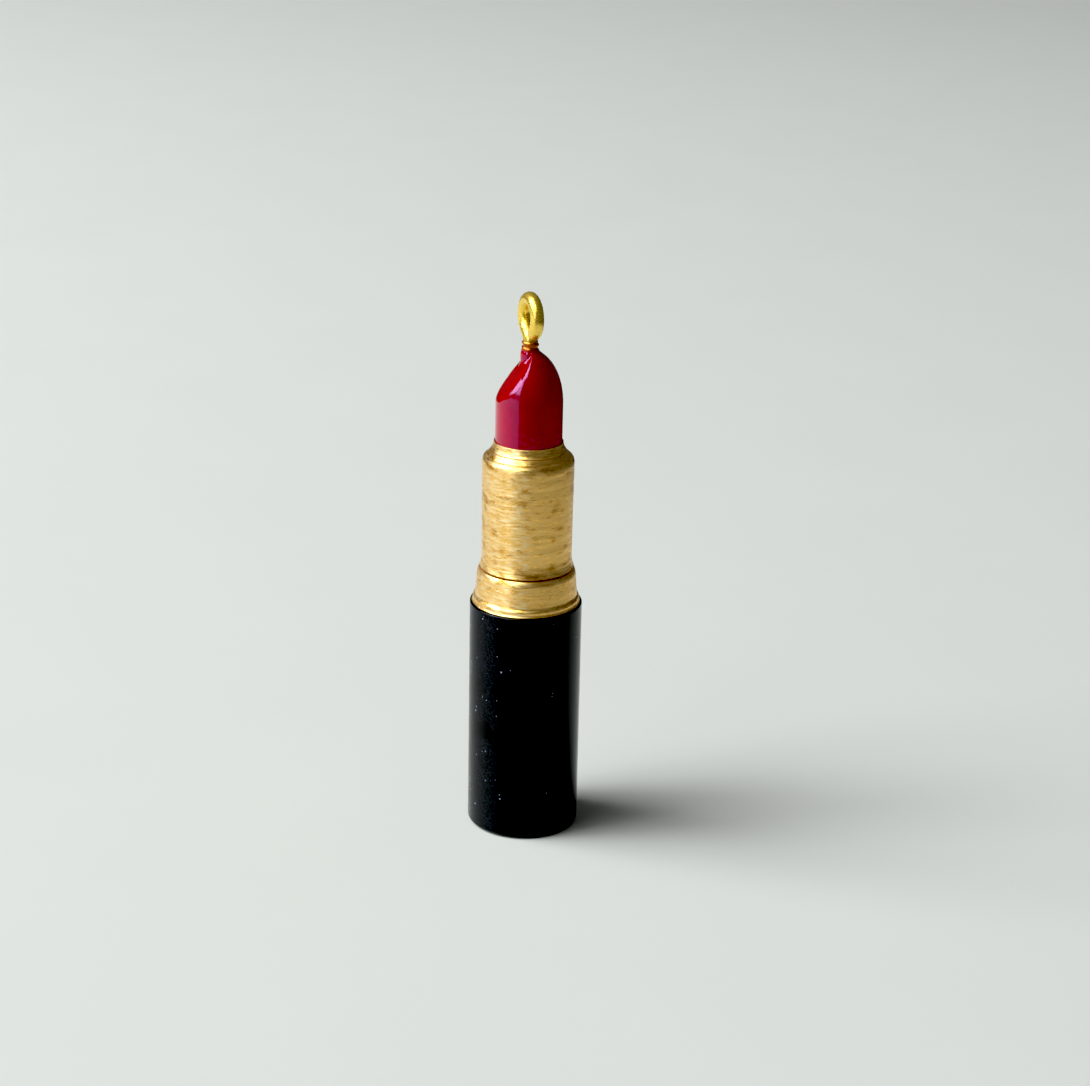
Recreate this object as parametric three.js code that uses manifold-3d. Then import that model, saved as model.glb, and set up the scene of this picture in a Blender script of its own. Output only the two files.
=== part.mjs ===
// A twist-up lipstick case made as a charm: a black base, a gold collar and turning sleeve,
// a red bullet with a slanted flat, and a screw eye in the bullet's tip to hang it by.
// Millimetres, +Z up. The origin is the centre of the base's underside, and the slanted
// flat faces -X. The case is shown wound fully up.
//
// How it works: the sleeve turns on the base and takes the cam tube with it. Two pins on
// the cup pass through straight slots in the guide tube, which is fixed to the base, and
// through helical slots in the cam tube, so the cup and bullet rise and sink as it turns.

import * as THREE from 'three';
import { mergeVertices } from 'three/addons/utils/BufferGeometryUtils.js';
import Module from 'manifold-3d';

const wasm = await Module();
wasm.setup();

// ---------------------------------------------------------------- driving dimensions

const facets = 48; // around the surfaces that show
const innerFacets = 36; // around the pieces inside
const play = 0.05; // gap between pieces that touch or are glued
const runningPlay = 0.07; // gap between pieces that turn or slide on each other

const base = { radius: 5.11, wall: 0.45, floor: 0.8, top: 21.8, footRound: 0.4, rimRound: 0.12 };
const ballastTop = 9.4;
const insert = { bottom: 9.5, floor: 1.5, top: 19.5 };
const bullet = { radius: 3.0, foot: 36.9, domeStart: 40.5, domeHeight: 4.8, spigot: 2.55 };
const flat = { slope: 54, distance: 1.49, height: 43 }; // degrees, mm from the axis, at this height
const twist = { lead: 7.2, turns: 1.25 }; // of the helical slots, mm per turn
const stroke = twist.lead * twist.turns;

const guideWall = 0.25;
const guideInner = bullet.radius + runningPlay;
const guideOuter = guideInner + guideWall;
const guideTop = 35.2;
const camWall = 0.3;
const camInner = guideOuter + runningPlay;
const camOuter = camInner + camWall;
const camFlange = { radius: 4.35, bottom: 19.85, height: 0.5 };
const camTop = 34.9;
const washer = { height: 0.25, radius: 4.4 };

const collar = { bottom: 20.7, seat: 21.86, top: 25.05 };
const bead = { radius: 4.84, round: 0.18, top: 22.48, flare: 4.97, flareHeight: 0.28 };
const cone = { foot: 4.64, footHeight: 22.75, brow: 4.5, browHeight: 24.4, browTop: 24.75, rim: 4.29 };
const sleeve = { bottom: 25.2, foot: 4.28, flare: 0.5, flareTop: 26.55, waist: 4.085, top: 36.17 };
const head = { radius: 4.145, top: 34.9 }; // of the sleeve, where its shoulder starts
const shoulder = { pull: [4.12, 35.42], corner: [3.83, 35.69] }; // radius, height
const sleeveBore = camOuter + play;
const mouth = { spigotBottom: 35.35, seat: 36.22, flange: 3.37, top: 37.0, spigot: 3.27 };
const throat = { wall: 0.1, height: 36.5, lip: 0.05, rim: 0.04 }; // the mouth ring's hollow cone
const brakeRing = { height: 24.1, section: 0.2, groove: 4.17 };

const cup = { bottom: 31.9, floorTop: 33.95, bore: 2.62, top: 36.85, vent: 0.5 };
const lug = { radius: 0.45, height: 32.9, inner: 1.3, outer: 3.64 };
const slotWidth = 1.12;

const eye = { top: 50.5, wire: 0.6, ring: 1.6, yaw: 12.5 };
const thread = { root: 0.6, crest: 0.76, pitch: 0.54, bottom: 40.2, top: 46.35 };
const enamel = { bottom: 43.4, radius: 1.02, top: 45.42, neck: 0.26, neckHeight: 0.66 };

// ---------------------------------------------------------------- materials

const finish = (color, roughness, metalness) =>
  new THREE.MeshStandardMaterial({ color, roughness, metalness });

const blackLacquer = () => finish(0x0a0a0b, 0.2, 0.0);
const goldFinish = () => finish(0xc9a558, 0.35, 1.0);
const redEnamel = () => finish(0x8c0208, 0.15, 0.0);
const polishedGold = () => finish(0xe3bb3e, 0.15, 1.0);
const brass = () => finish(0xb08d4a, 0.4, 1.0);
const steel = () => finish(0x9a9c9e, 0.4, 1.0);
const blackRubber = () => finish(0x1b1b1b, 0.8, 0.0);
const whitePlastic = () => finish(0xd8d6cf, 0.5, 0.0);

// ---------------------------------------------------------------- shape helpers

const radians = (degrees) => (degrees * Math.PI) / 180;

// Points along an elliptical arc in the (radius, height) plane of a turned profile.
function arc(centre, semiAxes, fromDegrees, toDegrees, steps) {
  const points = [];
  for (let i = 0; i <= steps; i += 1) {
    const angle = radians(fromDegrees + ((toDegrees - fromDegrees) * i) / steps);
    points.push([centre[0] + semiAxes[0] * Math.cos(angle), centre[1] + semiAxes[1] * Math.sin(angle)]);
  }
  return points;
}

// Points along a smooth bend between two points of a profile, drawn towards a third.
function bend(from, towards, to, steps) {
  const corners = [from, towards, to].map(([radius, height]) => new THREE.Vector2(radius, height));
  return new THREE.QuadraticBezierCurve(...corners).getPoints(steps).map(({ x, y }) => [x, y]);
}

// A turned piece. The profile runs anticlockwise in (radius, height), up the outside.
function turned(profile, segments) {
  const onAxis = profile[0][0] === 0 && profile.at(-1)[0] === 0;
  const closed = onAxis ? profile : [...profile, profile[0]];
  const outline = closed.map(([radius, height]) => new THREE.Vector2(radius, height));
  return new THREE.LatheGeometry(outline, segments).rotateX(Math.PI / 2);
}

// A tube or washer with square edges.
function plainRing(inner, outer, bottom, top, segments = innerFacets) {
  return turned([[inner, bottom], [outer, bottom], [outer, top], [inner, top]], segments);
}

// A closed solid for cutting and joining.
function solid(geometry) {
  const bare = geometry.clone();
  bare.deleteAttribute('normal');
  bare.deleteAttribute('uv');
  const merged = mergeVertices(bare, 1e-5);
  const corners = merged.index.array;
  const kept = [];
  for (let i = 0; i < corners.length; i += 3) {
    const [a, b, c] = [corners[i], corners[i + 1], corners[i + 2]];
    if (a !== b && b !== c && c !== a) kept.push(a, b, c);
  }
  const vertProperties = new Float32Array(merged.attributes.position.array);
  const mesh = new wasm.Mesh({ numProp: 3, vertProperties, triVerts: new Uint32Array(kept) });
  return new wasm.Manifold(mesh);
}

function geometryOf(manifold) {
  const mesh = manifold.getMesh();
  const geometry = new THREE.BufferGeometry();
  geometry.setAttribute('position', new THREE.BufferAttribute(mesh.vertProperties, 3));
  geometry.setIndex(new THREE.BufferAttribute(mesh.triVerts, 1));
  geometry.computeVertexNormals();
  return geometry;
}

// A bar bent round the Z axis into a helix. Positive sweep climbs anticlockwise from the
// start angle. taper is how far its outer edge narrows to, as a share of its height.
function helicalBar({ radius, depth, height, start, sweep, lead, from, taper = 1, perTurn = 18 }) {
  const steps = Math.ceil((Math.abs(sweep) / 360) * perTurn);
  const bar = new THREE.BoxGeometry(1, height, depth, steps, 1, 1);
  const at = bar.attributes.position;
  for (let i = 0; i < at.count; i += 1) {
    const turn = ((at.getX(i) + 0.5) * sweep) / 360;
    const angle = radians(start + turn * 360);
    const share = at.getZ(i) > 0 ? taper : 1;
    const r = radius + at.getZ(i);
    at.setXYZ(i, r * Math.cos(angle), r * Math.sin(angle), from + turn * lead + at.getY(i) * share);
  }
  return bar;
}

function piece(name, geometry, material) {
  const mesh = new THREE.Mesh(geometry, material);
  mesh.name = name;
  return mesh;
}

// ---------------------------------------------------------------- base

// Drawn shell: flat underneath, with a rounded foot and a slightly rounded rim.
function baseShell() {
  const inner = base.radius - base.wall;
  const profile = [
    [0, 0],
    ...arc([base.radius - base.footRound, base.footRound], [base.footRound, base.footRound], -90, 0, 5),
    ...arc([base.radius - base.rimRound, base.top - base.rimRound], [base.rimRound, base.rimRound], 0, 90, 2),
    [inner, base.top],
    [inner, base.floor + base.wall],
    [inner - base.wall, base.floor],
    [0, base.floor],
  ];
  return piece('base_shell', turned(profile, facets), blackLacquer());
}

function ballast() {
  const radius = base.radius - base.wall - play;
  const bottom = base.floor + play;
  const profile = [
    [0, bottom],
    [radius - base.wall, bottom],
    [radius, bottom + base.wall],
    [radius, ballastTop],
    [0, ballastTop],
  ];
  return piece('ballast', turned(profile, innerFacets), steel());
}

// Plug with a blind bore that holds the guide tube.
function baseInsert() {
  const radius = base.radius - base.wall - play;
  const bore = guideOuter + play;
  const profile = [
    [0, insert.bottom],
    [radius, insert.bottom],
    [radius, insert.top],
    [bore, insert.top],
    [bore, insert.bottom + insert.floor],
    [0, insert.bottom + insert.floor],
  ];
  return piece('base_insert', turned(profile, innerFacets), whitePlastic());
}

// Inner tube with one straight slot for each lug pin.
function guideTube() {
  const bottom = insert.bottom + insert.floor + play;
  const tube = solid(plainRing(guideInner, guideOuter, bottom, guideTop));
  const slotLength = stroke + slotWidth;
  const slots = new THREE.BoxGeometry(3 * guideOuter, slotWidth, slotLength);
  slots.translate(0, 0, lug.height - stroke / 2);
  return piece('guide_tube', geometryOf(tube.subtract(solid(slots))), brass());
}

// Lower gold ring: spigot in the shell, bead flared over the shell's rim, short cone, rounded
// brow, and an inner groove for the brake ring.
function baseCollar() {
  const spigot = base.radius - base.wall - play;
  const bore = camOuter + runningPlay;
  const grooveHalf = brakeRing.section + 0.15;
  const beadHalf = (bead.top - collar.seat) / 2;
  const beadMiddle = collar.seat + beadHalf;
  const flarePull = [bead.radius, collar.seat + play];
  const profile = [
    [bore, collar.bottom],
    [spigot, collar.bottom],
    [spigot, collar.seat],
    ...bend([bead.flare, collar.seat], flarePull, [bead.radius, collar.seat + bead.flareHeight], 3),
    ...arc([bead.radius - bead.round, beadMiddle], [bead.round, beadHalf], 0, 90, 3),
    [cone.foot, cone.footHeight],
    ...bend([cone.brow, cone.browHeight], [cone.brow, cone.browTop], [cone.rim, collar.top], 5),
    [bore, collar.top],
    [bore, brakeRing.height + grooveHalf],
    [brakeRing.groove, brakeRing.height + grooveHalf],
    [brakeRing.groove, brakeRing.height - grooveHalf],
    [bore, brakeRing.height - grooveHalf],
  ];
  return piece('base_collar', turned(profile, facets), goldFinish());
}

function brakeRingSeal() {
  const radius = camOuter + 0.04 + brakeRing.section;
  const ring = new THREE.TorusGeometry(radius, brakeRing.section, 6, innerFacets);
  ring.translate(0, 0, brakeRing.height);
  return piece('brake_ring', ring, blackRubber());
}

function lowerThrustWasher() {
  const bottom = camFlange.bottom - play - washer.height;
  const ring = plainRing(camInner, washer.radius, bottom, bottom + washer.height);
  return piece('lower_thrust_washer', ring, whitePlastic());
}

function upperThrustWasher() {
  const bottom = camFlange.bottom + camFlange.height + play;
  const ring = plainRing(camOuter + runningPlay, washer.radius, bottom, bottom + washer.height);
  return piece('upper_thrust_washer', ring, whitePlastic());
}

// ---------------------------------------------------------------- turning sleeve

// Tube with a flange at its foot and two helical slots, half a turn apart.
function camTube() {
  const profile = [
    [camInner, camFlange.bottom],
    [camFlange.radius, camFlange.bottom],
    [camFlange.radius, camFlange.bottom + camFlange.height],
    [camOuter, camFlange.bottom + camFlange.height],
    [camOuter, camTop],
    [camInner, camTop],
  ];
  const endRoom = 10; // degrees that each slot runs on past the pin
  let tube = solid(turned(profile, innerFacets));
  for (const start of [0, 180]) {
    const slot = helicalBar({
      radius: (camInner + camOuter) / 2,
      depth: 3 * camWall,
      height: 1.04 * slotWidth,
      start: start - 360 * twist.turns - endRoom,
      sweep: 360 * twist.turns + 2 * endRoom,
      lead: twist.lead,
      from: lug.height - stroke - (twist.lead * endRoom) / 360,
    });
    tube = tube.subtract(solid(slot));
  }
  return piece('cam_tube', geometryOf(tube), brass());
}

// Outer tube: flared foot, slight waist, rounded shoulder turned in over the mouth ring.
function outerSleeve() {
  const lip = mouth.spigot + play;
  const flarePull = [sleeve.waist, sleeve.bottom + sleeve.flare];
  const profile = [
    [sleeveBore, sleeve.bottom],
    [sleeve.foot - 0.05, sleeve.bottom],
    ...bend([sleeve.foot, sleeve.bottom + play], flarePull, [sleeve.waist, sleeve.flareTop], 5),
    ...bend([head.radius, head.top], shoulder.pull, shoulder.corner, 6),
    [lip + 0.02, sleeve.top],
    [lip, mouth.spigotBottom + 0.3],
    [sleeveBore, mouth.spigotBottom],
  ];
  return piece('sleeve', turned(profile, facets), goldFinish());
}

// Ring pressed into the top of the sleeve, with a hollow cone that closes on the bullet.
function mouthRing() {
  const bore = bullet.radius + play;
  const pull = [bore + throat.wall, throat.height];
  const profile = [
    [bore, mouth.spigotBottom],
    [mouth.spigot, mouth.spigotBottom],
    [mouth.spigot, mouth.seat],
    [mouth.flange, mouth.seat],
    ...bend([mouth.flange, mouth.seat + throat.rim], pull, [bore + throat.lip, mouth.top], 6),
    [bore, mouth.top],
  ];
  return piece('mouth_ring', turned(profile, facets), goldFinish());
}

// ---------------------------------------------------------------- carrier

// Cup for the bullet, with a thick floor that is cross-drilled for the two lug pins.
function carrierCup() {
  const profile = [
    [cup.vent, cup.bottom],
    [bullet.radius, cup.bottom],
    [bullet.radius, cup.top],
    [cup.bore, cup.top],
    [cup.bore, cup.floorTop],
    [cup.vent, cup.floorTop],
  ];
  const drill = new THREE.CylinderGeometry(lug.radius + 0.02, lug.radius + 0.02, 7, 16);
  drill.rotateZ(Math.PI / 2).translate(0, 0, lug.height);
  const body = solid(turned(profile, innerFacets)).subtract(solid(drill));
  return piece('carrier_cup', geometryOf(body), brass());
}

function lugPin(name, side) {
  const length = lug.outer - lug.inner;
  const pin = new THREE.CylinderGeometry(lug.radius, lug.radius, length, 16);
  pin.rotateZ(Math.PI / 2);
  const mesh = piece(name, pin, steel());
  mesh.position.set((side * (lug.inner + lug.outer)) / 2, 0, lug.height);
  return mesh;
}

// Red bullet: spigot in the cup, cylinder, dome, one slanted flat, and the enamel that has
// drawn up round the screw eye.
function redBullet() {
  const body = [
    [0, cup.floorTop + play],
    [bullet.spigot, cup.floorTop + play],
    [bullet.spigot, bullet.foot],
    [bullet.radius, bullet.foot],
    ...arc([0, bullet.domeStart], [bullet.radius, bullet.domeHeight], 0, 90, 9),
  ];
  body[body.length - 1][0] = 0;
  const collarOfEnamel = [
    [0, enamel.bottom],
    [enamel.radius, enamel.bottom],
    ...arc([thread.crest, enamel.top - enamel.neckHeight], [enamel.neck, enamel.neckHeight], 0, 70, 4),
    [0, enamel.top],
  ];
  const cutter = new THREE.BoxGeometry(12, 12, 6);
  cutter.translate(0, 0, 3).rotateY(-radians(flat.slope));
  cutter.translate(-flat.distance, 0, flat.height);
  const hole = new THREE.CylinderGeometry(thread.crest + 0.03, thread.crest + 0.03, 10, 24);
  hole.rotateX(Math.PI / 2).translate(0, 0, thread.bottom - 0.2 + 5);
  const shape = solid(turned(body, facets))
    .subtract(solid(cutter))
    .add(solid(turned(collarOfEnamel, 24)))
    .subtract(solid(hole));
  return piece('bullet', geometryOf(shape), redEnamel());
}

// Wire eye on a threaded shank. The end of the wire closes against the shank.
function screwEye() {
  const centre = eye.top - eye.wire - eye.ring;
  const ring = new THREE.TorusGeometry(eye.ring, eye.wire, 12, 32);
  ring.rotateX(Math.PI / 2).rotateZ(Math.PI / 2).translate(0, 0, centre);
  const closingGap = new THREE.BoxGeometry(3, 0.1, 2);
  closingGap.translate(0, 0, -eye.ring).rotateX(radians(-32)).translate(0, 0, centre);
  const coreTop = centre - eye.ring + 0.2;
  const core = turned(
    [
      [0, thread.bottom],
      [0.25, thread.bottom],
      [thread.root, thread.bottom + 0.7],
      [thread.root, coreTop],
      [0, coreTop],
    ],
    24,
  );
  const turns = (thread.top - thread.bottom - 1) / thread.pitch;
  const ridge = helicalBar({
    radius: (thread.root + thread.crest) / 2 - 0.04,
    depth: thread.crest - thread.root + 0.08,
    height: 0.78 * thread.pitch,
    start: 0,
    sweep: 360 * turns,
    lead: thread.pitch,
    from: thread.bottom + 0.8,
    taper: 0.2,
    perTurn: 10,
  });
  const shape = solid(ring)
    .subtract(solid(closingGap))
    .add(solid(core))
    .add(solid(ridge));
  const mesh = piece('screw_eye', geometryOf(shape), polishedGold());
  mesh.rotation.z = radians(eye.yaw);
  return mesh;
}

// ---------------------------------------------------------------- assembly

function baseGroup() {
  const group = new THREE.Group();
  group.add(baseShell(), ballast(), baseInsert(), guideTube(), baseCollar());
  group.add(brakeRingSeal(), lowerThrustWasher(), upperThrustWasher());
  return group;
}

function sleeveGroup() {
  const group = new THREE.Group();
  group.add(outerSleeve(), camTube(), mouthRing());
  return group;
}

function carrierGroup() {
  const group = new THREE.Group();
  group.add(carrierCup(), lugPin('lug_pin_a', 1), lugPin('lug_pin_b', -1), redBullet(), screwEye());
  return group;
}

const lipstick = new THREE.Group();
lipstick.name = 'lipstick_charm';
lipstick.add(baseGroup(), sleeveGroup(), carrierGroup());

export default lipstick;
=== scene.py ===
"""A small twist-up lipstick case with a wire eye in its tip: black base, gold collar and
sleeve, red bullet. Everything is in metres, in the CAD model's frame; lengths written in
millimetres are multiplied by MM."""

import math

import bpy
from mathutils import Matrix, Vector, noise


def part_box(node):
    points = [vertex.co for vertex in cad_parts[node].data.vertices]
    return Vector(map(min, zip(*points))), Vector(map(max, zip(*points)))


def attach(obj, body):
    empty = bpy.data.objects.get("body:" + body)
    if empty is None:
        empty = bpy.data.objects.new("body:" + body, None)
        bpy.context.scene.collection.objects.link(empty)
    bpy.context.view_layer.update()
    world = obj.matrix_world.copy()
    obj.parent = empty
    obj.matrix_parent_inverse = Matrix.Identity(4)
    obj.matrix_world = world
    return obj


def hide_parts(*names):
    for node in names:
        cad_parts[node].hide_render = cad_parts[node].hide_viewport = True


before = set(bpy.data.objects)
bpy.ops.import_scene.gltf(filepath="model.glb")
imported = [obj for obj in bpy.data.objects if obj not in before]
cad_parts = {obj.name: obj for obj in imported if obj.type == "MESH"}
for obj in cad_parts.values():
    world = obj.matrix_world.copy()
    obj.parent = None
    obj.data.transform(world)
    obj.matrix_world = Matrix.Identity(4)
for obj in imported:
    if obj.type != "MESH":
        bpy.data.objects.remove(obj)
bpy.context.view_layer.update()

MM = 0.001
AROUND = 192  # steps round a turned piece
LONGEST = 0.1  # longest stretch along a gold outline, in millimetres, so that marks can show
AXIS_GAP = 0.02  # radius of the smallest ring at an axis, in millimetres


# ------------------------------------------------------------------ mesh helpers


def mesh_object(name, points, faces, material, smooth_below=35):
    """A mesh from points in millimetres, smooth but for edges sharper than the angle."""
    mesh = bpy.data.meshes.new(name)
    mesh.from_pydata([Vector(p) * MM for p in points], [], faces)
    mesh.validate()
    mesh.update()
    mesh.shade_smooth()
    mesh.set_sharp_from_angle(angle=math.radians(smooth_below))
    mesh.materials.append(material)
    thing = bpy.data.objects.new(name, mesh)
    bpy.context.scene.collection.objects.link(thing)
    return thing


def ring_faces(rows, around, first=0, closed=False):
    """Quads between rings of points: row i joins row i + 1, the last the first if closed."""
    faces = []
    for i in range(rows if closed else rows - 1):
        a, b = first + i * around, first + ((i + 1) % rows) * around
        for j in range(around):
            k = (j + 1) % around
            faces.append((a + j, a + k, b + k, b + j))
    return faces


def lathe(name, profile, material, radius_at=None, around=AROUND, smooth_below=35):
    """A closed ring turned round Z. The profile is (r, z) in millimetres, anticlockwise.
    radius_at(r, z, angle) can move a point in or out."""
    points = []
    for r, z in profile:
        for j in range(around):
            angle = 2 * math.pi * j / around
            radius = radius_at(r, z, angle) if radius_at else r
            points.append((radius * math.cos(angle), radius * math.sin(angle), z))
    faces = ring_faces(len(profile), around, closed=True)
    return mesh_object(name, points, faces, material, smooth_below)


def solid_lathe(name, profile, material, around=AROUND, smooth_below=35):
    """A turned piece that is solid at both ends: the first and last rings are capped."""
    points = []
    for r, z in profile:
        for j in range(around):
            angle = 2 * math.pi * j / around
            points.append((r * math.cos(angle), r * math.sin(angle), z))
    faces = ring_faces(len(profile), around)
    faces.append(tuple(reversed(range(around))))
    last = (len(profile) - 1) * around
    faces.append(tuple(range(last, last + around)))
    return mesh_object(name, points, faces, material, smooth_below)


def arc(centre, semi, start, end, steps):
    """Points on an elliptical arc in the (r, z) plane, angles in degrees."""
    points = []
    for i in range(steps + 1):
        a = math.radians(start + (end - start) * i / steps)
        points.append((centre[0] + semi[0] * math.cos(a), centre[1] + semi[1] * math.sin(a)))
    return points


def bend(start, towards, end, steps):
    """Points along a smooth bend in the (r, z) plane, drawn towards a third point."""
    points = []
    for i in range(steps + 1):
        t = i / steps
        parts = zip(start, towards, end)
        points.append(tuple(a * (1 - t) ** 2 + b * 2 * t * (1 - t) + c * t * t for a, b, c in parts))
    return points


def divided(profile, longest):
    """The outline with its long straight stretches cut into short ones."""
    out = []
    for i, a in enumerate(profile):
        b = profile[(i + 1) % len(profile)]
        pieces = max(1, math.ceil(math.dist(a, b) / longest))
        for s in range(pieces):
            t = s / pieces
            out.append((a[0] + (b[0] - a[0]) * t, a[1] + (b[1] - a[1]) * t))
    return out


# ------------------------------------------------------------------ node helpers


class Shader:
    """A material's node tree, with short ways to add and join its nodes."""

    def __init__(self, name):
        self.material = bpy.data.materials.new(name)
        self.material.use_nodes = True
        self.tree = self.material.node_tree
        self.surface = self.tree.nodes["Principled BSDF"]
        self.place = self.add("ShaderNodeTexCoord").outputs["Object"]

    def add(self, kind, inputs=None, **settings):
        node = self.tree.nodes.new(kind)
        for key, value in settings.items():
            setattr(node, key, value)
        for key, value in (inputs or {}).items():
            self.feed(node.inputs[key], value)
        return node

    def feed(self, socket, value):
        if isinstance(value, bpy.types.NodeSocket):
            self.tree.links.new(value, socket)
        else:
            socket.default_value = value

    def set(self, **values):
        for key, value in values.items():
            self.feed(self.surface.inputs[key.replace("_", " ")], value)

    def math(self, operation, a, b=0.0, clamp=False):
        node = self.add("ShaderNodeMath", operation=operation, use_clamp=clamp)
        self.feed(node.inputs[0], a)
        self.feed(node.inputs[1], b)
        return node.outputs[0]

    def stretched(self, x, y, z):
        """The object's coordinates in millimetres, stretched by x, y and z."""
        scale = (x / MM, y / MM, z / MM)
        node = self.add("ShaderNodeVectorMath", {0: self.place, 1: scale}, operation="MULTIPLY")
        return node.outputs[0]

    def noise(self, vector, scale, detail=3.0, rough=0.5):
        settings = {"Vector": vector, "Scale": scale, "Detail": detail, "Roughness": rough}
        return self.add("ShaderNodeTexNoise", settings).outputs["Fac"]

    def between(self, value, low, high, to_low=0.0, to_high=1.0):
        """value from low..high to to_low..to_high, smoothly and held at both ends."""
        node = self.add("ShaderNodeMapRange", interpolation_type="SMOOTHSTEP")
        for key, part in zip(("Value", "From Min", "From Max", "To Min", "To Max"),
                             (value, low, high, to_low, to_high)):
            self.feed(node.inputs[key], part)
        return node.outputs["Result"]

    def mix(self, share, a, b):
        node = self.add("ShaderNodeMix", data_type="RGBA")
        self.feed(node.inputs[0], share)
        self.feed(node.inputs[6], a)
        self.feed(node.inputs[7], b)
        return node.outputs[2]

    def along(self, axis):
        """The place along an axis of the object, in millimetres."""
        split = self.add("ShaderNodeSeparateXYZ", {0: self.stretched(1, 1, 1)})
        return split.outputs[axis]

    def bump(self, height, distance, strength=1.0):
        """Bump of a height that runs from 0 to 1 over the distance in millimetres."""
        inputs = {"Height": height, "Distance": distance * MM, "Strength": strength}
        self.set(Normal=self.add("ShaderNodeBump", inputs).outputs["Normal"])


def colour(red, green, blue):
    return (red, green, blue, 1.0)


# ------------------------------------------------------------------ materials


def black_lacquer():
    """Gloss black with fine scuffs and dust; the dust haze is painted sheen on the lit side, -X."""
    s = Shader("black_lacquer")
    even = s.stretched(1, 1, 1)
    # Grains of dust: one in each lattice cell, few of them kept, in loose clusters.
    cells = s.add("ShaderNodeTexVoronoi", {"Vector": even, "Scale": 2.6, "Randomness": 1.0})
    chance = s.add("ShaderNodeSeparateColor", {0: cells.outputs["Color"]})
    # side is 1 on the side that faces -X, towards the key light: painted light, it puts more dust and
    # haze where the light falls.
    side = s.between(s.along("X"), -4.4, -1.2, 1.0, 0.0)
    dust_and_lit_side = s.math("ADD", s.math("MULTIPLY", side, 0.3), 0.9)
    cluster = s.math("MULTIPLY", s.noise(even, 0.45, 2.0), dust_and_lit_side)
    wanted = s.math("GREATER_THAN", s.math("MULTIPLY", chance.outputs[0], cluster), 0.5)
    size = s.between(chance.outputs[1], 0.0, 1.0, 0.05, 0.22)
    grain = s.math("MULTIPLY", s.math("LESS_THAN", cells.outputs["Distance"], size), wanted)
    # Haze of very fine grains, painted only down the side that faces -X, where the key light falls:
    # real dust shown as painted sheen.
    fine = s.noise(even, 5.5, 6.0, 0.85)
    film = s.math("MULTIPLY", s.between(fine, 0.42, 0.72), s.between(cluster, 0.38, 0.6))
    dust = s.math("MAXIMUM", grain, s.math("MULTIPLY", film, s.math("MULTIPLY", side, 0.075)))
    smear = s.noise(s.stretched(1, 1, 0.35), 1.4, 5.0, 0.6)
    smoothness = s.between(smear, 0.35, 0.7, 0.1, 0.24)
    s.set(
        Base_Color=s.mix(dust, colour(0.0022, 0.0024, 0.003), colour(0.34, 0.4, 0.56)),
        Roughness=s.math("ADD", smoothness, s.math("MULTIPLY", dust, 0.5)),
        Specular_IOR_Level=0.25,
    )
    scuffs = s.noise(s.stretched(2.5, 2.5, 0.6), 3.0, 6.0, 0.7)
    s.bump(s.math("ADD", s.math("MULTIPLY", scuffs, 0.35), dust), 0.012, 0.5)
    return s.material


def turned_gold():
    """Satin gold with lathe marks round it and brown tarnish in blotches. The side that faces
    -X, towards the key light, is coloured paler as a painted highlight, and its marks are deeper."""
    s = Shader("turned_gold")
    marks = s.noise(s.stretched(0.2, 0.2, 0.95), 2.0, 4.0, 0.6)
    fine = s.noise(s.stretched(0.5, 0.5, 3.2), 2.0, 4.0, 0.6)
    blotch = s.noise(s.stretched(0.7, 0.7, 1.4), 1.0, 6.0, 0.66)
    grainy = s.noise(s.stretched(1, 1, 1), 7.0, 5.0, 0.7)
    deep = s.between(s.along("X"), -3.2, 1.0, 1.0, 0.22)
    # Painted highlight: the side that faces -X, where the key light falls, gets a paler gold.
    painted_highlight_side = s.between(s.along("X"), -0.9, 0.2, 1.0, 0.0)
    stain = s.math("ADD", s.math("MULTIPLY", blotch, 0.7), s.math("MULTIPLY", marks, 0.3))
    tarnish = s.between(stain, 0.51, 0.66)
    bright_gold_and_painted_highlight = s.mix(painted_highlight_side, colour(1.0, 0.67, 0.25), colour(1.0, 0.78, 0.42))
    clean = s.mix(s.between(fine, 0.4, 0.65), colour(0.97, 0.59, 0.175), bright_gold_and_painted_highlight)
    s.set(
        Base_Color=s.mix(s.math("MULTIPLY", tarnish, 0.85), clean, colour(0.52, 0.22, 0.014)),
        Roughness=s.between(fine, 0.3, 0.7, 0.24, 0.44),
        Metallic=0.86,
        Anisotropic=0.5,
        Anisotropic_Rotation=0.25,
        Tangent=s.add("ShaderNodeTangent", direction_type="RADIAL", axis="Z").outputs[0],
    )
    relief = s.math("ADD", s.math("MULTIPLY", marks, 0.8), s.math("MULTIPLY", fine, 0.3))
    relief = s.math("MULTIPLY", relief, deep)
    s.bump(s.math("ADD", relief, s.math("MULTIPLY", grainy, 0.1)), 0.12, 0.9)
    return s.material


def red_enamel():
    """Thick gloss enamel with a faint orange-peel surface and a slightly uneven red."""
    s = Shader("red_enamel")
    flow = s.noise(s.stretched(1, 1, 0.5), 0.6, 3.0)
    orange_peel = s.noise(s.stretched(1, 1, 1), 2.4, 3.0)
    red = s.mix(s.between(flow, 0.3, 0.7), colour(0.37, 0.0, 0.0), colour(0.45, 0.0, 0.0))
    s.set(
        Base_Color=red,
        Roughness=s.between(orange_peel, 0.35, 0.7, 0.13, 0.2),
        IOR=1.55,
        Specular_IOR_Level=1.0,
        Specular_Tint=colour(0.6, 0.32, 1.0),
        Coat_Weight=0.4,
        Coat_Roughness=0.1,
    )
    s.bump(orange_peel, 0.05, 0.35)
    return s.material


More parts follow.
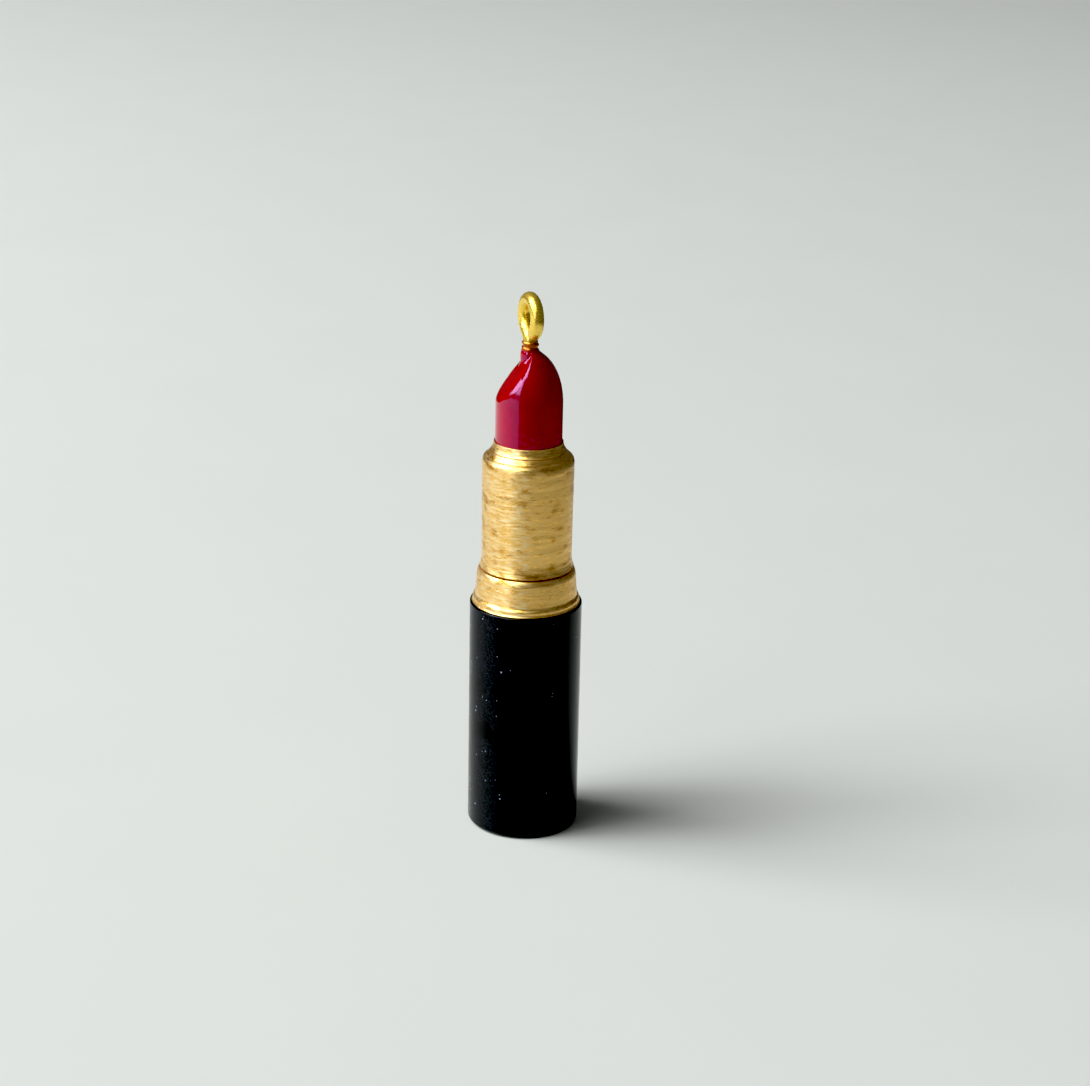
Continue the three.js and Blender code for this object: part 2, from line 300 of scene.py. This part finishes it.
def polished_gold():
    """Bright plated wire with small dents, tinted by enamel round the threaded neck."""
    s = Shader("polished_gold")
    dents = s.noise(s.stretched(1, 1, 1), 1.6, 4.0, 0.6)
    specks = s.noise(s.stretched(1, 1, 1), 6.0, 5.0, 0.7)
    uneven_height = s.math("ADD", s.along("Z"), s.math("MULTIPLY", dents, 0.5))
    wet = s.between(uneven_height, 46.2, 46.7, 1.0, 0.0)
    gold = s.mix(s.between(specks, 0.5, 0.8), colour(1.0, 0.72, 0.14), colour(0.85, 0.5, 0.04))
    s.set(
        Base_Color=s.mix(wet, gold, colour(0.5, 0.15, 0.03)),
        Roughness=s.between(specks, 0.3, 0.8, 0.2, 0.38),
        Metallic=0.75,
    )
    s.bump(dents, 0.06, 0.3)
    return s.material


def plain_metal(name, tint, roughness):
    """Machined metal inside the case, with fine turning marks."""
    s = Shader(name)
    marks = s.noise(s.stretched(0.2, 0.2, 6.0), 3.0, 4.0, 0.6)
    stain = s.noise(s.stretched(1, 1, 1), 0.9, 4.0)
    dark = tuple(0.55 * part for part in tint[:3]) + (1.0,)
    s.set(
        Base_Color=s.mix(s.between(stain, 0.5, 0.8), tint, dark),
        Roughness=s.between(marks, 0.3, 0.7, roughness, roughness + 0.15),
        Metallic=1.0,
    )
    s.bump(marks, 0.01, 0.4)
    return s.material


def plain_moulding(name, tint, roughness):
    """Moulded plastic or rubber inside the case, with a fine matt grain."""
    s = Shader(name)
    grain = s.noise(s.stretched(1, 1, 1), 8.0, 4.0, 0.6)
    dark = tuple(0.8 * part for part in tint[:3]) + (1.0,)
    s.set(
        Base_Color=s.mix(s.between(grain, 0.4, 0.7), tint, dark),
        Roughness=s.between(grain, 0.3, 0.7, roughness, roughness + 0.12),
    )
    s.bump(grain, 0.01, 0.4)
    return s.material


# ------------------------------------------------------------------ sizes from the frame


def size_of(node):
    """(radius, bottom, top) of a turned CAD node, in millimetres."""
    low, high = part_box(node)
    return high.x / MM, low.z / MM, high.z / MM


def pose_piece(piece, body, slot, *nodes):
    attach(piece, body)
    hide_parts(*nodes)
    return piece


# ------------------------------------------------------------------ base

TUBE_BORE = 3.76  # bore that the collar and the sleeve share


def make_base_shell(material):
    """A tube closed underneath, with a rounded foot and a rounded rim."""
    radius, bottom, top = size_of("base_shell")
    foot, rim, inner_rim, wall, floor, fillet = 0.4, 0.12, 0.05, 0.45, 0.8, 0.4
    bore = radius - wall
    outline = [(AXIS_GAP, bottom), (radius - foot - 0.3, bottom)]
    outline += arc((radius - foot, bottom + foot), (foot, foot), -90, 0, 14)
    outline += arc((radius - rim, top - rim), (rim, rim), 0, 90, 6)
    outline += arc((bore + inner_rim, top - inner_rim), (inner_rim, inner_rim), 90, 180, 3)
    outline += [(bore, floor + fillet), (bore - fillet, floor), (AXIS_GAP, floor)]
    shell = solid_lathe("lacquered_shell", outline, material)
    return pose_piece(shell, "base", "black_lacquer", "base_shell")


def make_collar(material):
    """A flared foot on the shell's rim, a bead, a short cone and a rounded brow."""
    flare, bottom, top = size_of("base_collar")
    shell_radius, _, shell_top = size_of("base_shell")
    bead, cone_foot, cone_top, brow = 4.83, 4.62, 4.5, 4.28
    bead_depth, bead_height = 0.18, 0.31
    spigot, seat = shell_radius - 0.5, shell_top + 0.06
    profile = [(TUBE_BORE, bottom), (spigot, bottom), (spigot, seat)]
    profile += bend((flare - 0.02, seat + 0.01), (bead, seat + 0.05), (bead, seat + 0.28), 8)
    profile += arc((bead - bead_depth, seat + bead_height), (bead_depth, bead_height), 0, 75, 8)
    under_bead = (cone_foot + 0.06, seat + 0.64)
    profile += bend(under_bead, (cone_foot + 0.01, seat + 0.7), (cone_foot, seat + 0.95), 4)
    profile += bend((cone_top, top - 0.65), (cone_top - 0.01, top - 0.3), (brow + 0.04, top - 0.04), 8)
    profile += [(brow, top), (TUBE_BORE, top)]
    collar = lathe("gold_collar", divided(profile, LONGEST), material, turning_marks(0.016))
    return pose_piece(collar, "base", "gold_finish", "base_collar")


def turning_marks(depth):
    """Shallow ridges left by the lathe, strong in some places and faint in others."""

    def radius_at(r, z, angle):
        c, s = math.cos(angle), math.sin(angle)
        ridge = noise.noise(Vector((0.7 * c, 0.7 * s, 2.3 * z)))
        ridge += 0.5 * noise.noise(Vector((1.1 * c + 7, 1.1 * s, 5.1 * z)))
        strong = 0.55 + 0.9 * noise.noise(Vector((1.4 * c, 1.4 * s + 3, 0.35 * z)))
        return r + depth * ridge * max(0.15, strong)

    return radius_at


# ------------------------------------------------------------------ sleeve


def make_sleeve(material):
    """A flared foot, a slight waist, a rounded shoulder, a fine groove and a cone."""
    foot, bottom, top = size_of("sleeve")
    waist, head, lip = 4.075, 4.135, 3.32
    corner, corner_height = head - 0.315, top - 0.48
    profile = [(TUBE_BORE, bottom), (foot - 0.06, bottom)]
    profile += bend((foot - 0.01, bottom + 0.05), (waist, bottom + 0.5), (waist, bottom + 1.35), 12)
    profile += bend((head, top - 1.1), (head - 0.015, top - 0.64), (corner, corner_height), 16)
    profile += [(corner - 0.07, corner_height + 0.01), (corner - 0.085, corner_height + 0.085)]
    profile += bend((lip + 0.06, top - 0.03), (lip + 0.03, top), (lip, top - 0.03), 4)
    profile += [(lip, top - 0.5), (TUBE_BORE, top - 0.8)]
    sleeve = lathe("turned_sleeve", divided(profile, LONGEST), material, turning_marks(0.03))
    return pose_piece(sleeve, "swivel", "gold_finish", "sleeve")


def make_mouth_ring(material):
    """A thin flange on the sleeve's lip, sweeping up to the edge of the mouth."""
    flange, bottom, top = size_of("mouth_ring")
    bore, spigot, seat = 3.05, 3.27, top - 0.78
    profile = [(bore, bottom), (spigot, bottom), (spigot, seat), (flange - 0.02, seat)]
    profile += bend((flange - 0.01, seat + 0.03), (3.16, seat + 0.24), (3.11, top - 0.02), 14)
    profile += [(3.09, top), (bore + 0.01, top), (bore, top - 0.02)]
    ring = lathe("mouth_ring_turned", divided(profile, LONGEST), material, turning_marks(0.004))
    return pose_piece(ring, "swivel", "gold_finish", "mouth_ring")


# ------------------------------------------------------------------ bullet

BULLET_RADIUS = 3.0
DOME_START, DOME_HEIGHT = 40.5, 4.8
FLAT_SLOPE = math.radians(54.0)
FLAT_DISTANCE, FLAT_HEIGHT = 1.49, 43.0  # the flat's distance from the axis at one height
NECK_RADIUS, NECK_START = 0.87, 44.9


def soft_min(a, b, blend):
    """The smaller of two lengths, rounded over where they are close."""
    share = max(0.0, min(1.0, 0.5 + 0.5 * (b - a) / blend))
    return b * (1 - share) + a * share - blend * share * (1 - share)


def bullet_radius(z, angle):
    """Radius of the bullet at a height and angle: dome, slanted flat, enamel at the neck."""
    up = max(0.0, (z - DOME_START) / DOME_HEIGHT)
    dome = BULLET_RADIUS * math.sqrt(max(0.0, 1 - up * up)) if up < 1 else -0.6 * (up - 1)
    facing = -math.cos(angle)
    if facing > 0.05:
        distance = FLAT_DISTANCE - (z - FLAT_HEIGHT) / math.tan(FLAT_SLOPE)
        high = max(0.0, min(1.0, (z - 40.8) / 1.6))
        rounding = 0.28 + 0.5 * high  # the flat's edge is rounder towards the top
        dome = soft_min(dome, max(distance, -0.5) / facing, min(1.8, rounding / facing))
    neck = NECK_RADIUS - 0.14 * max(0.0, (z - NECK_START) / 0.5) ** 2
    return -soft_min(-dome, -neck, 0.45)


def make_bullet(material):
    """A spigot below, a straight part, and a dome with rings that close up towards its top."""
    radius, bottom, top = size_of("bullet")
    shoulder, spigot, edge = 36.9, 2.55, 0.05
    hole, hole_floor = 0.79, 39.9
    straight_rings, dome_rings, dome_top = 18, 120, top - 0.04
    straight = DOME_START - 0.1 - shoulder
    heights = [shoulder + 0.06 + i * straight / straight_rings for i in range(straight_rings + 1)]
    for i in range(1, dome_rings + 1):
        share = 1 - (1 - i / dome_rings) ** 1.6
        heights.append(DOME_START + (dome_top - DOME_START) * share)
    rings = [(hole, hole_floor), (AXIS_GAP, hole_floor), (AXIS_GAP, bottom), (spigot, bottom)]
    rings += [(spigot, shoulder), (radius - edge, shoulder), (radius, shoulder + edge)]
    turns = [2 * math.pi * j / AROUND for j in range(AROUND)]
    rows = [([r] * AROUND, z) for r, z in rings]
    rows += [([bullet_radius(z, a) for a in turns], z) for z in heights]
    rows.append(([bullet_radius(top, a) - 0.03 for a in turns], top))
    rows.append(([hole] * AROUND, top - 0.02))
    points = []
    for radii, z in rows:
        points += [(r * math.cos(a), r * math.sin(a), z) for r, a in zip(radii, turns)]
    faces = ring_faces(len(rows), AROUND, closed=True)
    bullet = mesh_object("enamelled_bullet", points, faces, material, smooth_below=50)
    return pose_piece(bullet, "carrier", "red_enamel", "bullet")


# ------------------------------------------------------------------ screw eye


WIRE, RING = 0.6, 1.6  # radius of the wire, and of the circle that its centre line makes
EYE_START, EYE_END, EYE_STEPS = -66.0, 226.0, 98  # degrees round that circle
EYE_YAW = math.radians(12.5)
THREAD_ROOT, THREAD_CREST, THREAD_PITCH = 0.67, 0.76, 0.54


def eye_path():
    """The wire's centre line in the plane of the eye, as (across, height) in millimetres:
    from the cut end, over the top, into the shank and down to its tip."""
    low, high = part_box("screw_eye")
    centre = high.z / MM - WIRE - RING
    path = []
    for i in range(EYE_STEPS + 1):
        a = math.radians(EYE_START + (EYE_END - EYE_START) * i / EYE_STEPS)
        path.append(Vector((RING * math.cos(a), centre + RING * math.sin(a))))
    a = math.radians(EYE_END)
    start = path[-1]
    heading = Vector((-math.sin(a), math.cos(a)))
    end = Vector((0.0, centre - RING - 0.55))
    pulls = start + heading * 0.75, end + Vector((0.0, 0.5))
    bend_steps = 24
    for i in range(1, bend_steps + 1):
        t = i / bend_steps
        path.append(start * (1 - t) ** 3 + pulls[0] * 3 * t * (1 - t) ** 2
                    + pulls[1] * 3 * t * t * (1 - t) + end * t**3)
    z = end.y
    while z > low.z / MM + 0.06:
        z -= 0.04
        path.append(Vector((0.0, z)))
    return path, end.y


def shank_radius(z, angle, top, tip):
    """Radius of the threaded shank, tapered to a point over its last stretch."""
    turn = (z / THREAD_PITCH - angle / (2 * math.pi)) % 1.0
    ridge = min(1.0, 1.5 * max(0.0, 1 - abs(turn - 0.5) / 0.38))
    grown = max(0.0, min(1.0, (top - z) / 0.12))
    radius = THREAD_ROOT + (THREAD_CREST - THREAD_ROOT) * grown * ridge
    return radius * min(1.0, 0.35 + 0.65 * (z - tip) / 0.7)


def make_screw_eye(material):
    """Round wire along the path, its cut end rounded, swelling into the threaded shank."""
    path, shank_top = eye_path()
    tip = path[-1].y
    across = Vector((math.sin(EYE_YAW), -math.cos(EYE_YAW), 0.0))
    side = Vector((math.cos(EYE_YAW), math.sin(EYE_YAW), 0.0))
    around, round_end = 36, 3
    points = []
    for i, here in enumerate(path):
        before, after = path[max(i - 1, 0)], path[min(i + 1, len(path) - 1)]
        heading = (after - before).normalized()
        out = Vector((heading.y, -heading.x))
        swell = max(0.0, min(1.0, (shank_top + 0.8 - here.y) / 0.8)) if here.x < 0.0 else 0.0
        for j in range(around):
            a = 2 * math.pi * j / around
            if here.x == 0.0:
                radius = shank_radius(here.y, a, shank_top, tip)
            else:
                radius = WIRE + (THREAD_ROOT - WIRE) * swell
            radius *= math.sqrt(1 - (max(0, round_end - i) / (round_end + 0.4)) ** 2)
            flat = here + out * (radius * math.cos(a))
            points.append(across * flat.x + Vector((0, 0, flat.y)) + side * (radius * math.sin(a)))
    faces = ring_faces(len(path), around)
    faces.append(tuple(reversed(range(around))))
    last = (len(path) - 1) * around
    faces.append(tuple(range(last, last + around)))
    eye = mesh_object("wire_eye", points, faces, material, smooth_below=50)
    return pose_piece(eye, "carrier", "polished_gold", "screw_eye")


# ------------------------------------------------------------------ studio


def make_floor():
    s = Shader("studio_floor")
    grain = s.noise(s.stretched(1, 1, 1), 0.05, 3.0)
    s.set(
        Base_Color=s.mix(grain, colour(0.775, 0.81, 0.78), colour(0.79, 0.825, 0.795)),
        Roughness=s.between(grain, 0.3, 0.7, 0.85, 0.95),
        Specular_IOR_Level=0.1,
    )
    half, depth = 3000, -0.02
    corners = [(x * half, y * half, depth) for x, y in ((-1, -1), (1, -1), (1, 1), (-1, 1))]
    floor = mesh_object("studio_floor", corners, [(0, 1, 2, 3)], s.material)


# Angles in degrees, lengths in millimetres.
CAMERA_AZIMUTH = -8.0
CAMERA_PITCH = 20.036
CAMERA_DISTANCE = 203.8
CAMERA_HEIGHT = 101.6
CAMERA_TURN = 0.461
CAMERA_ROLL = 1.17
CAMERA_LENS = 79.27


def make_camera():
    """Looking 20 degrees down, a little past the object's right, and rolled a little."""
    data = bpy.data.cameras.new("camera")
    data.sensor_width = 36.0
    data.lens = CAMERA_LENS
    data.clip_start = 0.01
    data.clip_end = 20.0
    camera = bpy.data.objects.new("camera", data)
    bpy.context.scene.collection.objects.link(camera)
    azimuth = math.radians(CAMERA_AZIMUTH)
    away = Vector((math.sin(azimuth), -math.cos(azimuth), 0.0))
    camera.location = (away * CAMERA_DISTANCE + Vector((0, 0, CAMERA_HEIGHT))) * MM
    turn = Matrix.Rotation(azimuth - math.radians(CAMERA_TURN), 3, "Z")
    tilt = Matrix.Rotation(math.radians(90 - CAMERA_PITCH), 3, "X")
    roll = Matrix.Rotation(math.radians(CAMERA_ROLL), 3, "Z")
    camera.rotation_mode = "QUATERNION"
    camera.rotation_quaternion = (turn @ tilt @ roll).to_quaternion()
    bpy.context.scene.camera = camera


def area_light(name, azimuth, elevation, distance, size, power, tint=(1, 1, 1)):
    """A soft box at an azimuth from the camera's direction (left is negative), in degrees,
    aimed at the middle of the object. distance and size are in metres."""
    data = bpy.data.lights.new(name, "AREA")
    data.shape = "RECTANGLE"
    data.size, data.size_y = size
    data.energy = power
    data.color = tint
    light = bpy.data.objects.new(name, data)
    bpy.context.scene.collection.objects.link(light)
    a, e = math.radians(CAMERA_AZIMUTH + azimuth), math.radians(elevation)
    back = Vector((math.sin(a) * math.cos(e), -math.cos(a) * math.cos(e), math.sin(e)))
    light.location = back * distance + Vector((0, 0, 0.025))
    light.rotation_mode = "QUATERNION"
    light.rotation_quaternion = (-back).to_track_quat("-Z", "Y")
    return light


def make_lights():
    """A large key light from the left with weak fills, and two lights that only gloss shows."""
    area_light("key", -86, 41, 1.5, (1.12, 1.25), 23.0)
    area_light("key_core", -84, 43, 1.48, (0.3, 0.4), 3.5)
    area_light("front_fill", -46, 32, 1.6, (0.6, 0.9), 1.8)
    area_light("side_reflector", -42, 16, 1.6, (0.55, 0.6), 4.0).visible_diffuse = False
    warm = (1.0, 1.05, 0.75)
    area_light("front_reflector", -30, 50, 1.55, (0.7, 0.75), 9.0, warm).visible_diffuse = False
    area_light("top_fill", -88, 66, 1.5, (0.7, 0.8), 3.5)
    world = bpy.data.worlds.new("studio")
    bpy.context.scene.world = world
    world.use_nodes = True
    background = world.node_tree.nodes["Background"]
    background.inputs["Color"].default_value = colour(0.98, 1.0, 0.985)
    background.inputs["Strength"].default_value = 0.09


def set_tone():
    """Plain sRGB, with the deepest shadows clipped to black."""
    view = bpy.context.scene.view_settings
    view.view_transform = "Standard"
    view.look = "None"
    view.use_curve_mapping = True
    view.curve_mapping.black_level = (0.026, 0.026, 0.026)
    view.curve_mapping.update()


def make_shade(name, first, last, inner, outer):
    """Part of the dark room round the object, as a card that only reflections see. It runs
    between two azimuths from the camera's direction and two distances, in millimetres."""
    s = Shader(name)
    s.set(Base_Color=colour(0.01, 0.01, 0.01), Roughness=0.9)
    points, steps, lift = [], 24, 0.05
    for i in range(steps + 1):
        a = math.radians(CAMERA_AZIMUTH + first + (last - first) * i / steps)
        points += [(r * math.sin(a), -r * math.cos(a), lift) for r in (inner, outer)]
    faces = [(2 * i, 2 * i + 1, 2 * i + 3, 2 * i + 2) for i in range(steps)]
    card = mesh_object(name, points, faces, s.material)
    card.visible_camera = False
    card.visible_diffuse = False
    card.visible_shadow = False


# ------------------------------------------------------------------ making


def paint(material, *nodes):
    for node in nodes:
        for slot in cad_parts[node].material_slots:
            slot.material = material


gold = turned_gold()
make_base_shell(black_lacquer())
make_collar(gold)
make_sleeve(gold)
make_mouth_ring(gold)
make_bullet(red_enamel())
make_screw_eye(polished_gold())

paint(plain_metal("inner_brass", colour(0.6, 0.42, 0.16), 0.35),
      "guide_tube", "cam_tube", "carrier_cup")
paint(plain_metal("inner_steel", colour(0.5, 0.51, 0.52), 0.35), "ballast", "lug_pin_a", "lug_pin_b")
paint(plain_moulding("inner_plastic", colour(0.7, 0.69, 0.66), 0.45),
      "base_insert", "lower_thrust_washer", "upper_thrust_washer")
paint(plain_moulding("inner_rubber", colour(0.03, 0.03, 0.03), 0.7), "brake_ring")

make_floor()
make_camera()
make_lights()
make_shade("dark_card_right", -34, 175, 110, 900)
make_shade("dark_card_back", 175, 245, 250, 2900)
set_tone()
